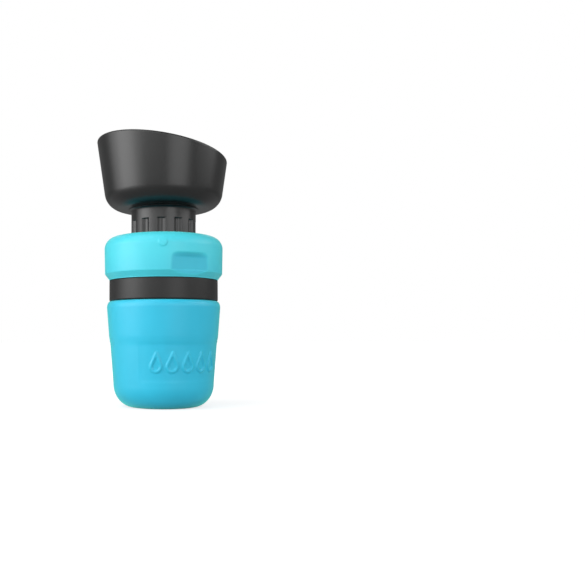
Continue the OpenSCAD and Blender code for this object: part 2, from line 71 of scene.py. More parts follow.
# Heights and radii of the frame's nodes, and the gaps between seated pieces, in millimetres.
RING_Z, SPIGOT_TOP, RING_R = span("mouth_ring")
NECK_TOP, BODY_R = span("squeeze_bottle")[1:]
COLLAR_Z, COLLAR_TOP, COLLAR_R = span("collar_shell")
NECK_Z, OUTLET_TOP, FLANGE_R = span("neck_cap")
BOWL_Z = span("bowl")[0]
NUT_Z, NUT_TOP, NUT_R = span("bowl_nut")
SEAT_GAP = 0.1
SHOULDER_Z = RING_Z - SEAT_GAP
SPIGOT_R = span("lid_gasket")[2] + SEAT_GAP
COLLAR_GAP = 0.3
RING_TOP = COLLAR_Z - COLLAR_GAP


# ---------------------------------------------------------------------------------------------
# Sizes and colours


class BottleSizes(bpy.types.PropertyGroup):
    """Sizes of the modelled pieces that the frame doesn't hold, in millimetres and degrees."""

    foot_r: FloatProperty(name="Foot radius", description="Radius of the flat foot", default=20.9)
    foot_round_h: FloatProperty(
        name="Foot rounding", description="Height of the rounding above the foot", default=16.0)
    body_draft: FloatProperty(
        name="Body draft", description="Lean of the soft body's wall, in degrees", default=4.5)
    grip_z: FloatProperty(name="Grip step", description="Height of the step above the grip", default=45.4)
    grip_depth: FloatProperty(name="Grip depth", description="Depth of the grip zone", default=0.55)
    panel_angle: FloatProperty(
        name="Panel angle", description="Angle that the label panel covers, in degrees", default=104.0)
    panel_z: FloatProperty(name="Panel foot", description="Lower edge of the label panel", default=18.8)
    panel_depth: FloatProperty(name="Panel depth", description="Depth of the label panel", default=0.2)
    drop_count: IntProperty(name="Drops", description="Raised drops on the label panel", default=5)
    drop_h: FloatProperty(name="Drop height", description="Height of each raised drop", default=14.2)
    drop_pitch: FloatProperty(name="Drop pitch", description="Distance from drop to drop", default=10.8)
    drop_relief: FloatProperty(name="Drop relief", description="Rise of each drop's outline", default=0.75)
    pocket_w: FloatProperty(name="Pocket width", description="Width of each finger pocket", default=26.0)
    pocket_top: FloatProperty(
        name="Pocket top", description="Pocket's top above the collar's lower edge", default=16.8)
    pocket_foot: FloatProperty(
        name="Pocket foot", description="Pocket's foot above the collar's lower edge", default=1.1)
    pocket_depth: FloatProperty(name="Pocket depth", description="Depth at the pocket's top", default=2.7)
    index_w: FloatProperty(name="Index width", description="Width of the collar's index mark", default=6.0)
    index_z: FloatProperty(
        name="Index height", description="Index mark's centre above the collar's lower edge", default=22.6)
    index_angle: FloatProperty(
        name="Index direction", description="Direction of the index mark, in degrees", default=-117.0)
    neck_r: FloatProperty(name="Neck radius", description="Outer radius of the fluted neck", default=22.7)
    flute_count: IntProperty(name="Flutes", description="Flutes round the neck", default=12)
    flute_h: FloatProperty(
        name="Flute height", description="Height of the flutes above the collar", default=10.8)
    flute_depth: FloatProperty(name="Flute depth", description="Depth of each flute", default=1.8)
    flare_w: FloatProperty(name="Flare reach", description="Reach of the flare under the bowl", default=2.0)
    flare_h: FloatProperty(
        name="Flare height", description="Height of the flare under the bowl", default=1.6)
    bowl_flat_r: FloatProperty(
        name="Bowl flat", description="Radius of the bowl's flat underside", default=29.3)
    bowl_round: FloatProperty(
        name="Bowl rounding", description="Radius of the rounding below the bowl's wall", default=12.3)
    bowl_draft: FloatProperty(
        name="Bowl draft", description="Lean of the bowl's wall, in degrees", default=8.4)
    bowl_wall: FloatProperty(name="Bowl wall", description="Thickness of the bowl's wall", default=2.4)
    rim_h: FloatProperty(
        name="Rim height", description="Height of the rim on the axis, above the underside", default=40.9)
    rim_tilt: FloatProperty(name="Rim tilt", description="Tilt of the rim, in degrees", default=9.6)
    rim_angle: FloatProperty(
        name="Rim direction", description="Direction of the rim's low side, in degrees", default=-6.0)


class BottleColours(bpy.types.PropertyGroup):
    """Colours of the finishes."""

    body: FloatVectorProperty(
        name="Body", description="Moulded silicone of the bottle", subtype="COLOR", size=4,
        min=0, max=1, default=linear_colour("2bbadb"))
    collar: FloatVectorProperty(
        name="Collar", description="Soft-touch skin of the collar", subtype="COLOR", size=4,
        min=0, max=1, default=linear_colour("49cfdf"))
    bowl: FloatVectorProperty(
        name="Bowl", description="Moulded plastic of the bowl and the neck", subtype="COLOR", size=4,
        min=0, max=1, default=linear_colour("0d0e0e"))
    ring: FloatVectorProperty(
        name="Ring", description="Moulded plastic of the ring", subtype="COLOR", size=4,
        min=0, max=1, default=linear_colour("191919"))
    seal: FloatVectorProperty(
        name="Seals", description="Rubber of the gaskets", subtype="COLOR", size=4,
        min=0, max=1, default=linear_colour("232325"))
    natural: FloatVectorProperty(
        name="Natural plastic", description="Uncoloured polypropylene", subtype="COLOR", size=4,
        min=0, max=1, default=linear_colour("dde2e2"))
    steel: FloatVectorProperty(
        name="Steel", description="Stainless steel of the screws", subtype="COLOR", size=4,
        min=0, max=1, default=linear_colour("c6c8ca"))


# ---------------------------------------------------------------------------------------------
# Materials


def add_node(tree, kind, settings=None, **inputs):
    """A shader node with its settings and its inputs, each a value or another node's socket.

    An input goes by its name, with _ for a space, or by i and its number.
    """
    node = tree.nodes.new(kind)
    for name, value in (settings or {}).items():
        setattr(node, name, value)
    for name, value in inputs.items():
        numbered = name[0] == "i" and name[1:].isdigit()
        socket = node.inputs[int(name[1:]) if numbered else name.replace("_", " ")]
        if isinstance(value, bpy.types.NodeSocket):
            tree.links.new(value, socket)
        else:
            socket.default_value = value
    return node


def new_material(name):
    """An empty node material with its tree and its output."""
    material = bpy.data.materials.new(name)
    material.use_nodes = True
    tree = material.node_tree
    tree.nodes.clear()
    output = add_node(tree, "ShaderNodeOutputMaterial")
    return material, tree, output


def moulded(name, colour, roughness, grain_mm, grain_depth_mm, specular, tone=0.04, swirl_mm=22.0,
            sheen=0.0, painted_pocket_shade=False):
    """A moulded surface: a tool's blasted grain, faint flow marks and uneven gloss.

    Where the mesh's point attribute for the pockets is up to 1, the colour is multiplied darker and bluer:
    painted shade in the collar's pockets.
    """
    gloss_spread = 0.05
    # Colour that the painted shade in the collar's pockets multiplies in.
    pocket_shade_colour = (0.66, 0.78, 0.87, 1)
    material, tree, output = new_material(name)
    place = add_node(tree, "ShaderNodeTexCoord").outputs["Object"]
    # A blasted grain is some 0.05 mm, too fine to show here, so it is drawn 5 to 10 times coarser.
    grain = add_node(tree, "ShaderNodeTexNoise", Vector=place, Scale=1 / (grain_mm * MM), Detail=3.0,
                     Roughness=0.55)
    flow = add_node(tree, "ShaderNodeTexNoise", Vector=place, Scale=1 / (swirl_mm * MM), Detail=2.0,
                    Distortion=0.6)
    level = add_node(tree, "ShaderNodeMapRange", Value=flow.outputs["Fac"], From_Min=0.3, From_Max=0.7,
                     To_Min=1 - tone, To_Max=1 + tone)
    tint = add_node(tree, "ShaderNodeHueSaturation", Color=tuple(colour), Value=level.outputs["Result"])
    base_colour = tint.outputs["Color"]
    # Painted shade: where the point attribute is 1 the base colour is multiplied darker and bluer.
    if painted_pocket_shade:
        mark = add_node(tree, "ShaderNodeAttribute", {"attribute_name": "painted_pocket_shade"})
        shaded_base = add_node(tree, "ShaderNodeMix", {"data_type": "RGBA", "blend_type": "MULTIPLY"},
                        i0=mark.outputs["Fac"], i6=base_colour, i7=pocket_shade_colour)
        base_colour = shaded_base.outputs[2]
    gloss = add_node(tree, "ShaderNodeMapRange", Value=grain.outputs["Fac"],
                     To_Min=roughness - gloss_spread, To_Max=roughness + gloss_spread)
    bump = add_node(tree, "ShaderNodeBump", Height=grain.outputs["Fac"], Strength=0.35,
                    Distance=grain_depth_mm * MM)
    # Light that has wandered through the rubber's skin leaves its edges paler and greener: the sheen.
    surface = add_node(tree, "ShaderNodeBsdfPrincipled", Base_Color=base_colour,
                       Roughness=gloss.outputs["Result"], Normal=bump.outputs["Normal"], IOR=1.46,
                       Specular_IOR_Level=specular, Sheen_Weight=sheen, Sheen_Roughness=0.42,
                       Sheen_Tint=linear_colour("74ffe8"))
    tree.links.new(surface.outputs["BSDF"], output.inputs["Surface"])
    return material


def moulded_silicone(colours):
    """Liquid silicone rubber from a fine-blasted tool: even, slightly waxy, with a soft wide sheen."""
    return moulded("moulded_silicone", colours.body, 0.44, 0.35, 0.02, 0.5, tone=0.02, sheen=1.0)


def soft_touch_elastomer(colours):
    """Thermoplastic elastomer moulded over the nut: paler than the body, with painted shade, darker and
    bluer, in the pockets.
    """
    return moulded("soft_touch_elastomer", colours.collar, 0.42, 0.35, 0.02, 0.45, tone=0.02, sheen=0.5,
                   painted_pocket_shade=True)


def satin_abs_bowl(colours):
    """ABS from a satin tool: dark, with broad soft highlights down the bowl's wall and the neck."""
    return moulded("satin_abs_bowl", colours.bowl, 0.33, 0.25, 0.012, 0.62, tone=0.03)


def satin_abs_ring(colours):
    """ABS from a duller tool: the ring, a shade lighter and softer in its highlights than the bowl."""
    return moulded("satin_abs_ring", colours.ring, 0.42, 0.25, 0.012, 0.45, tone=0.03)


def seal_rubber(colours):
    """Nitrile rubber pressed in a plain tool: black and almost without gloss."""
    return moulded("seal_rubber", colours.seal, 0.7, 0.5, 0.02, 0.3)


def natural_polypropylene(colours):
    """Uncoloured polypropylene: milky white with a slight surface gloss."""
    return moulded("natural_polypropylene", colours.natural, 0.32, 0.4, 0.01, 0.5)


def turned_stainless(colours):
    """Stainless steel, turned: fine rings round the axis that stretch the highlight."""
    material, tree, output = new_material("turned_stainless")
    place = add_node(tree, "ShaderNodeTexCoord").outputs["Object"]
    turning_mm = 2.5  # The real rings are about 0.1 mm apart, drawn wider so that they show.
    band_pitch = 2 * math.pi / 20  # A wave texture's bands are this far apart at scale 1.
    rings = add_node(tree, "ShaderNodeTexWave", {"bands_direction": "Z"}, Vector=place,
                     Scale=band_pitch / (turning_mm * MM), Distortion=0.4)
    bump = add_node(tree, "ShaderNodeBump", Height=rings.outputs["Fac"], Strength=0.3, Distance=0.01 * MM)
    surface = add_node(tree, "ShaderNodeBsdfPrincipled", Base_Color=tuple(colours.steel), Metallic=1.0,
                       Roughness=0.3, Normal=bump.outputs["Normal"])
    tree.links.new(surface.outputs["BSDF"], output.inputs["Surface"])
    return material


def dress(piece, material):
    """Gives a piece one material."""
    piece.data.materials.clear()
    piece.data.materials.append(material)


# ---------------------------------------------------------------------------------------------
# Outlines and solids of revolution, in millimetres


def rounded(corners, arc_points=6, closed=False, hold=0.4):
    """Outline through corners (radius, height, fillet), each fillet an arc with holding points."""
    path = []
    count = len(corners)
    for i, (r, z, fillet) in enumerate(corners):
        here = Vector((r, z))
        if fillet == 0 or (not closed and i in (0, count - 1)):
            path.append(here)
            continue
        back = (Vector(corners[i - 1][:2]) - here).normalized()
        ahead = (Vector(corners[(i + 1) % count][:2]) - here).normalized()
        half = back.angle(ahead) / 2
        reach = fillet / math.tan(half)
        centre = here + (back + ahead).normalized() * fillet / math.sin(half)
        start = here + back * reach - centre
        end = here + ahead * reach - centre
        path.append(here + back * reach * (1 + hold))
        turn = start.angle_signed(end)
        for k in range(arc_points + 1):
            path.append(centre + Matrix.Rotation(-turn * k / arc_points, 2) @ start)
        path.append(here + ahead * reach * (1 + hold))
    return path


def ellipse_arc(centre, reach_r, reach_z, first, last, steps):
    """Points of an elliptical arc, with its angles in degrees."""
    angles = [math.radians(first + (last - first) * i / steps) for i in range(steps + 1)]
    return [Vector((centre[0] + reach_r * math.cos(a), centre[1] + reach_z * math.sin(a))) for a in angles]


def refine(path, low, high, step, inside_r=0.0):
    """Outline with its stretches between two heights cut into short steps, outside a radius."""
    fine = [path[0]]
    for a, b in zip(path, path[1:]):
        length = (b - a).length
        fits = min(a.y, b.y) < high and max(a.y, b.y) > low and min(a.x, b.x) > inside_r
        cuts = max(1, math.ceil(length / step)) if fits else 1
        fine += [a.lerp(b, k / cuts) for k in range(1, cuts + 1)]
    return fine


def revolve(name, path, steps, closed=False, reshape=None, angle=360.0, rise=0.0):
    """A solid of revolution about the axis, reshaped point by point where asked.

    A whole turn is spun as an eighth and doubled three times, which is much quicker.
    """
    bm = bmesh.new()
    verts = [bm.verts.new((p.x, 0, p.y)) for p in path]
    pairs = list(zip(verts, verts[1:])) + ([(verts[-1], verts[0])] if closed else [])
    edges = [bm.edges.new(pair) for pair in pairs]
    whole = angle == 360.0 and rise == 0
    doublings = 3 if whole else 0
    share = 2 ** doublings
    bmesh.ops.spin(bm, geom=verts + edges, cent=(0, 0, 0), axis=(0, 0, 1), dvec=(0, 0, rise / steps),
                   angle=math.radians(angle / share), steps=steps // share, use_merge=False)
    for k in range(doublings):
        twin = bmesh.ops.duplicate(bm, geom=bm.verts[:] + bm.edges[:] + bm.faces[:])["geom"]
        bmesh.ops.rotate(bm, cent=(0, 0, 0), matrix=Matrix.Rotation(2 * math.pi / share * 2 ** k, 3, "Z"),
                         verts=[item for item in twin if isinstance(item, bmesh.types.BMVert)])
    bmesh.ops.remove_doubles(bm, verts=bm.verts, dist=0.0005)
    if reshape:
        for vert in bm.verts:
            vert.co = reshape(vert.co)
    bmesh.ops.scale(bm, vec=(MM, MM, MM), verts=bm.verts)
    bmesh.ops.recalc_face_normals(bm, faces=bm.faces)
    return finish_piece(name, bm)


def finish_piece(name, bm):
    """The bmesh as a smooth-shaded object at the world origin."""
    for face in bm.faces:
        face.smooth = True
    mesh = bpy.data.meshes.new(name)
    bm.to_mesh(mesh)
    bm.free()
    piece = bpy.data.objects.new(name, mesh)
    bpy.context.scene.collection.objects.link(piece)
    return piece


def smooth_copy(name, node, keep_sharp=35.0):
    """A CAD node's mesh with its triangles joined and its curves shaded smooth."""
    bm = bmesh.new()
    bm.from_mesh(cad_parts[node].data)
    bmesh.ops.remove_doubles(bm, verts=bm.verts, dist=0.002 * MM)
    bmesh.ops.dissolve_limit(bm, angle_limit=math.radians(0.5), verts=bm.verts, edges=bm.edges)
    for edge in bm.edges:
        edge.smooth = len(edge.link_faces) == 2 and edge.calc_face_angle(0) < math.radians(keep_sharp)
    return finish_piece(name, bm)


def place_piece(piece, body, material, slot, *nodes):
    """Puts a piece on its body in place of its CAD nodes, with its finish."""
    dress(piece, material)
    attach(piece, body)
    if nodes:
        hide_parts(*nodes)


def smooth_step(x):
    """0 below 0, 1 above 1, and an even ease between."""
    x = min(max(x, 0.0), 1.0)
    return x * x * (3 - 2 * x)


def polar(co):
    """Radius and direction in degrees of a point."""
    return math.hypot(co.x, co.y), math.degrees(math.atan2(co.y, co.x))


def with_radius(co, radius):
    """The point moved straight out from the axis, or in, to a radius."""
    old = math.hypot(co.x, co.y)
    return Vector((co.x * radius / old, co.y * radius / old, co.z)) if old > 1e-6 else co


def blend_depth(depth, ease):
    """The depth where it is positive and 0 elsewhere, with the turn between eased."""
    if depth <= -ease:
        return 0.0
    return depth if depth >= ease else (depth + ease) ** 2 / (4 * ease)


def turn_between(a, b):
    """Signed angle in degrees from b to a, from -180 to 180."""
    return (a - b + 180) % 360 - 180


def scooped(co, count, mid_r, scoop_r):
    """The point moved in to the floor of the nearest of the upright scoops round the axis, if any."""
    r, angle = polar(co)
    pitch = 360 / count
    offset = math.radians(turn_between(angle, round(angle / pitch) * pitch))
    across = mid_r * math.sin(offset)
    if abs(across) >= scoop_r:
        return co
    floor_r = mid_r * math.cos(offset) - math.sqrt(scoop_r ** 2 - across ** 2)
    return with_radius(co, min(r, floor_r))


def box_distance(u, v, half_w, half_h, corner):
    """Distance outside a rounded rectangle, negative inside."""
    du = abs(u) - half_w + corner
    dv = abs(v) - half_h + corner
    return math.hypot(max(du, 0), max(dv, 0)) + min(max(du, dv), 0) - corner


def drop_distance(u, v, round_r, tip_r, rise):
    """Distance outside an upright drop with its round end at the origin, negative inside."""
    u = abs(u)
    lean = (round_r - tip_r) / rise
    upright = math.sqrt(1 - lean * lean)
    along = -lean * u + upright * v
    if along < 0:
        return math.hypot(u, v) - round_r
    if along > upright * rise:
        return math.hypot(u, v - rise) - tip_r
    return upright * u + lean * v - round_r


# ---------------------------------------------------------------------------------------------
# Pieces


class BOTTLE_OT_stage(bpy.types.Operator):
    """Floor, studio light and the photograph's camera"""

    bl_idname = "travel_bottle.stage"
    bl_label = "Stage and camera"

    def execute(self, context):
        self.make_floor()
        self.make_world(context)
        self.make_lights()
        self.make_camera(context)
        return {"FINISHED"}

    def make_floor(self):
        """Pale paper that keeps the object's soft shadow and fades to the white behind it."""
        bm = bmesh.new()
        bmesh.ops.create_grid(bm, x_segments=2, y_segments=2, size=6.0)
        floor = finish_piece("studio_floor", bm)
        near_m, far_m = 0.05, 0.45
        material, tree, output = new_material("white_paper_sweep")
        paper = add_node(tree, "ShaderNodeBsdfDiffuse", Color=linear_colour("aeaeae"))
        place = add_node(tree, "ShaderNodeTexCoord").outputs["Object"]
        away = add_node(tree, "ShaderNodeVectorMath", {"operation": "LENGTH"}, i0=place)
        level = add_node(tree, "ShaderNodeMapRange", Value=away.outputs["Value"], From_Min=near_m,
                         From_Max=far_m, To_Min=0.71, To_Max=1.0)
        strength = add_node(tree, "ShaderNodeMath", {"operation": "MULTIPLY"}, i0=level.outputs["Result"],
                            i1=self.seen_share(tree))
        glow = add_node(tree, "ShaderNodeEmission", Color=(1, 1, 1, 1), Strength=strength.outputs[0])
        blend = add_node(tree, "ShaderNodeAddShader", i0=paper.outputs[0], i1=glow.outputs[0])
        tree.links.new(blend.outputs[0], output.inputs["Surface"])
        dress(floor, material)

    def seen_share(self, tree):
        """1 for what the camera sees, straight or through glass, and a share of it for glossy rays.

        The dark satin plastics would look bleached if they mirrored a full white surround.
        """
        glossy_share = 0.045
        path = add_node(tree, "ShaderNodeLightPath")
        glossy = add_node(tree, "ShaderNodeMath", {"operation": "MULTIPLY"},
                          i0=path.outputs["Is Glossy Ray"], i1=glossy_share)
        through = add_node(tree, "ShaderNodeMath", {"operation": "MAXIMUM"},
                           i0=path.outputs["Is Transmission Ray"], i1=glossy.outputs[0])
        seen = add_node(tree, "ShaderNodeMath", {"operation": "MAXIMUM"},
                        i0=path.outputs["Is Camera Ray"], i1=through.outputs[0])
        return seen.outputs[0]

    def make_world(self, context):
        """White behind everything, and a plain grey fill for the surfaces."""
        world = bpy.data.worlds.new("studio")
        world.use_nodes = True
        tree = world.node_tree
        tree.nodes.clear()
        white = add_node(tree, "ShaderNodeBackground", Color=(1, 1, 1, 1), Strength=1.0)
        fill = add_node(tree, "ShaderNodeBackground", Color=(1, 1, 1, 1), Strength=0.21)
        blend = add_node(tree, "ShaderNodeMixShader", i0=self.seen_share(tree),
                         i1=fill.outputs[0], i2=white.outputs[0])
        output = add_node(tree, "ShaderNodeOutputWorld")
        tree.links.new(blend.outputs[0], output.inputs["Surface"])
        context.scene.world = world

    def make_lights(self):
        """A key at the left that fades to its sides, and boxes in front, at the right, above and behind.

        Each lamp is a box 1 m from the middle of the bottle: its direction round the table and its
        height in degrees, its width and height in metres, and its radiance, where 1 is white.
        """
        target = Vector((0, 0, 0.1))
        for name, azimuth, elevation, width, height, radiance in (
                ("key_softbox", -97, 8, 1.2, 0.8, 2.0),
                ("key_core", -94, 8, 0.6, 0.7, 2.6),
                ("front_softbox", -48, 16, 0.8, 0.5, 1.9),
                ("fill_softbox", 0, 5, 0.65, 0.7, 2.7),
                ("side_softbox", 54, 24, 0.8, 0.6, 2.5),
                ("top_softbox", -80, 56, 0.7, 0.6, 2.2),
                ("back_softbox", 155, 42, 1.0, 0.7, 0.8)):
            a, e = math.radians(azimuth), math.radians(elevation)
            back = Vector((math.sin(a) * math.cos(e), -math.cos(a) * math.cos(e), math.sin(e)))
            data = bpy.data.lights.new(name, "AREA")
            data.shape = "RECTANGLE"
            data.size = width
            data.size_y = height
            data.energy = math.pi * radiance * width * height
            lamp = bpy.data.objects.new(name, data)
            lamp.location = target + back
            lamp.rotation_euler = back.to_track_quat("Z", "Y").to_euler()
            bpy.context.scene.collection.objects.link(lamp)

    def make_camera(self, context):
        """The photograph's view: object left of the middle, seen from low down and looking up a little."""
        focal_px = 736.0
        axis_px = 163.6
        distance = 0.515
        eye_height = 0.0473
        pitch = 4.0
        azimuth = math.radians(-26.4)
        data = bpy.data.cameras.new("photo_camera")
        data.sensor_fit = "HORIZONTAL"
        data.sensor_width = 36.0
        data.lens = focal_px / PHOTO_W * data.sensor_width
        data.shift_x = (PHOTO_W / 2 - axis_px) / PHOTO_W
        camera = bpy.data.objects.new("photo_camera", data)
        camera.location = (math.sin(azimuth) * distance, -math.cos(azimuth) * distance, eye_height)
        camera.rotation_euler = (math.radians(90 + pitch), 0, azimuth)
        context.scene.collection.objects.link(camera)
        context.scene.camera = camera
        context.scene.view_settings.view_transform = "Standard"


class BOTTLE_OT_soft_body(bpy.types.Operator):
    """Soft squeeze bottle with its grip zone, label panel and raised drops"""

    bl_idname = "travel_bottle.soft_body"
    bl_label = "Squeeze bottle"

    def execute(self, context):
        sizes = context.scene.travel_bottle_sizes
        colours = context.scene.travel_bottle_colours
        wall = 2.4
        floor_t = 3.4
        hollow = 1.2
        foot_ring_r = sizes.foot_r - 4.0
        foot_centre = (sizes.foot_r, sizes.foot_round_h)
        round_h = 4.4
        round_w = 2.4
        edge_z = SHOULDER_Z - round_h
        soft_neck_r = 34.6
        mouth_r = soft_neck_r - wall
        bead_r = soft_neck_r + 1.2
        bead_z = NECK_TOP - 3.2
        grip_ease = 8.0
        panel_h = sizes.grip_z - 1.3 - sizes.panel_z
        panel_corner = 2.0
        panel_ease = 3.0
        seam_rise = 0.07
        seam_half_w = 0.5
        lean = math.tan(math.radians(sizes.body_draft))

        def line(z):
            """Radius of the drafted wall at a height."""
            return BODY_R - (edge_z - z) * lean

        low_r = line(sizes.foot_round_h) - sizes.grip_depth
        outside = (
            rounded([(0, hollow, 0), (foot_ring_r - 0.5, hollow, 1.0), (foot_ring_r, 0, 0.6),
                     (sizes.foot_r + 0.5, 0, 0)], 4)
            + ellipse_arc(foot_centre, low_r - sizes.foot_r, sizes.foot_round_h, -84, 0, 20)
            + [Vector((line(edge_z - 1), edge_z - 1))]
            + ellipse_arc((BODY_R - round_w, edge_z), round_w, round_h, 0, 80, 12)
            + rounded([(BODY_R - round_w - 0.6, SHOULDER_Z, 0), (soft_neck_r, SHOULDER_Z, 0.4),
                       (soft_neck_r, bead_z, 0.2), (bead_r, bead_z, 0.5), (bead_r, NECK_TOP, 0.5),
                       (mouth_r, NECK_TOP, 0)], 3))
        outside = refine(outside, sizes.foot_round_h, sizes.grip_z, 0.45)
        inside = (
            [Vector((mouth_r, NECK_TOP)), Vector((mouth_r, SHOULDER_Z - 1)),
             Vector((line(edge_z - round_h) - wall, edge_z - round_h)),
             Vector((line(sizes.grip_z + 2) - wall, sizes.grip_z + 2)),
             Vector((line(sizes.grip_z - 2) - sizes.grip_depth - wall, sizes.grip_z - 2))]
            + ellipse_arc(foot_centre, low_r - sizes.foot_r - wall, sizes.foot_round_h - floor_t, 0, -90, 12)
            + [Vector((0, floor_t))])

        def reshape(co):
            """The wall's point moved for the grip zone, the panel, the drops and the mould's seams."""
            r, angle = polar(co)
            z = co.z
            if not sizes.foot_round_h <= z < edge_z or r < line(z) - wall / 2:
                return co
            below = 1 - smooth_step((z - sizes.grip_z + grip_ease / 2) / grip_ease)
            wall_r = line(z) - sizes.grip_depth * below
            u = math.radians(turn_between(angle, -90)) * wall_r
            v = z - sizes.panel_z - panel_h / 2
            half_w = math.radians(sizes.panel_angle / 2) * wall_r
            edge = box_distance(u, v, half_w, panel_h / 2, panel_corner)
            wall_r -= sizes.panel_depth * smooth_step(-edge / panel_ease + 0.5)
            wall_r += self.relief(u, v, sizes)
            seam = min(abs(turn_between(angle, 0)), abs(turn_between(angle, 180)))
            wall_r += seam_rise * smooth_step(1 - math.radians(seam) * wall_r / seam_half_w)
            return with_radius(co, wall_r)

        piece = revolve("squeeze_body", outside + inside[1:], 480, reshape=reshape)
        place_piece(piece, "bottle", moulded_silicone(colours), "blue_silicone", "squeeze_bottle")
        return {"FINISHED"}

    def relief(self, u, v, sizes):
        """Rise of the row of drop outlines at a place on the label panel."""
        reach = sizes.drop_pitch * (sizes.drop_count - 1) / 2
        slot = min(max(round((u + reach) / sizes.drop_pitch), 0), sizes.drop_count - 1)
        u -= slot * sizes.drop_pitch - reach
        stroke = 1.9
        flank = 0.6
        round_r = 4.3
        tip_r = 0.7
        rise = sizes.drop_h - round_r - tip_r
        distance = drop_distance(u, v + sizes.drop_h / 2 - round_r, round_r, tip_r, rise)
        outline = abs(distance + stroke / 2) - stroke / 2
        return sizes.drop_relief * smooth_step(-outline / flank + 0.4)


class BOTTLE_OT_hard_ring(bpy.types.Operator):
    """Hard ring round the mouth, with the collar's thread on its spigot"""

    bl_idname = "travel_bottle.hard_ring"
    bl_label = "Mouth ring"

    def execute(self, context):
        colours = context.scene.travel_bottle_colours
        low_edge = 1.0
        top_edge = 0.5
        bore_r = 34.9
        groove_r = RING_R - 1.8
        groove_z = NECK_TOP - 3.5
        groove_top = NECK_TOP + 0.3
        mouth_r = span("lid_gasket")[2] - 1.8
        path = rounded(
            [(bore_r, RING_Z, 0.2), (RING_R, RING_Z, low_edge), (RING_R, RING_TOP, top_edge),
             (SPIGOT_R, RING_TOP, 0.3), (SPIGOT_R, SPIGOT_TOP, 0.4), (mouth_r, SPIGOT_TOP, 0.3),
             (mouth_r, groove_top, 0.2), (groove_r, groove_top, 0.2), (groove_r, groove_z, 0.2),
             (bore_r, groove_z, 0.2)], 8, closed=True)
        ring = revolve("hard_mouth_ring", path, 256, closed=True)
        material = satin_abs_ring(colours)
        place_piece(ring, "bottle", material, "dark_satin", "mouth_ring")
        pitch = 3.0
        turns = 2.25
        root_r = SPIGOT_R - 0.2
        crest_r = SPIGOT_R + 0.22
        start_z = RING_TOP + 2.2
        flank_h = 0.6
        crest_h = 0.5
        ridge = [Vector((root_r, start_z)), Vector((crest_r, start_z + flank_h)),
                 Vector((crest_r, start_z + flank_h + crest_h)),
                 Vector((root_r, start_z + 2 * flank_h + crest_h))]
        thread = revolve("spigot_thread", ridge, 360, closed=True, angle=360 * turns, rise=pitch * turns)
        place_piece(thread, "bottle", material, "dark_satin")
        return {"FINISHED"}


